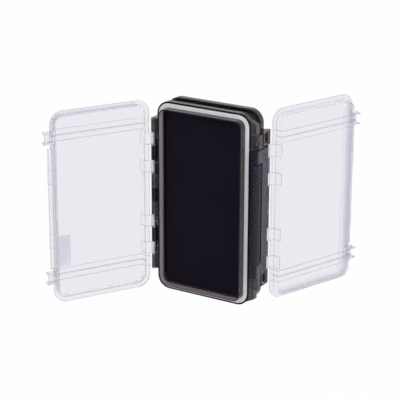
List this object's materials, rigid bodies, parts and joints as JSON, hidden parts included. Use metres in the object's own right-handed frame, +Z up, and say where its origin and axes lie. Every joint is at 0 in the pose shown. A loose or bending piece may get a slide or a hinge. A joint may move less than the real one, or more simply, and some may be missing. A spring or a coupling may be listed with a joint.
{
  "type": "lure box",
  "caption": "Upright two-sided lure box: smoke trays back to back, foam pads, seal rings, clear hinged lids with straps and ears, and black latches.",
  "frame": {"origin": "on the ground, midway across the box and midway between the front and back rims, where the upright half-turn axis of the two trays meets it", "axes": "+X to the right seen from the front, +Y to the back, +Z up along the long side of the box"},
  "size_m": [0.2215, 0.2252, 0.19],
  "materials": {
    "smoke_plastic": "smoke-tinted see-through moulding, glossy",
    "clear_plastic": "clear moulding, glossy, faint lavender cast",
    "seal_rubber": "soft matt light grey",
    "black_foam": "fine closed-cell foam, matt",
    "adhesive": "thin double-sided sheet",
    "pin_steel": "drawn steel rod",
    "label": "bare pale grey film",
    "latch_plastic": "opaque black moulding, satin",
    "grip_rubber": "black, knurled"
  },
  "bodies": {
    "case": {"front_tray": "smoke_plastic", "back_tray": "smoke_plastic", "front_seal": "seal_rubber", "back_seal": "seal_rubber", "front_foam": "black_foam", "back_foam": "black_foam", "front_foam_adhesive": "adhesive", "back_foam_adhesive": "adhesive", "front_hinge_pin": "pin_steel", "back_hinge_pin": "pin_steel"},
    "front_lid": {"front_lid": "clear_plastic", "front_lid_label": "label"},
    "back_lid": {"back_lid": "clear_plastic"},
    "front_latch": {"front_latch": "latch_plastic", "front_latch_grip": "grip_rubber"},
    "back_latch": {"back_latch": "latch_plastic", "back_latch_grip": "grip_rubber"}
  },
  "joints": [
    {"name": "front_lid_hinge", "type": "hinge", "parent": "case", "child": "front_lid", "pos_m": [-0.0554, -0.0115, 0.095], "axis": [0, 0, -1], "range_deg": [-120.6, 9.4]},
    {"name": "back_lid_hinge", "type": "hinge", "parent": "case", "child": "back_lid", "pos_m": [0.0554, 0.0115, 0.095], "axis": [0, 0, -1], "range_deg": [-110.2, 19.8]},
    {"name": "front_latch_hinge", "type": "hinge", "parent": "case", "child": "front_latch", "pos_m": [0.0554, 0.0115, 0.095], "axis": [0, 0, 1], "range_deg": [-4, 38]},
    {"name": "back_latch_hinge", "type": "hinge", "parent": "case", "child": "back_latch", "pos_m": [-0.0554, -0.0115, 0.095], "axis": [0, 0, 1], "range_deg": [-4, 38]}
  ]
}
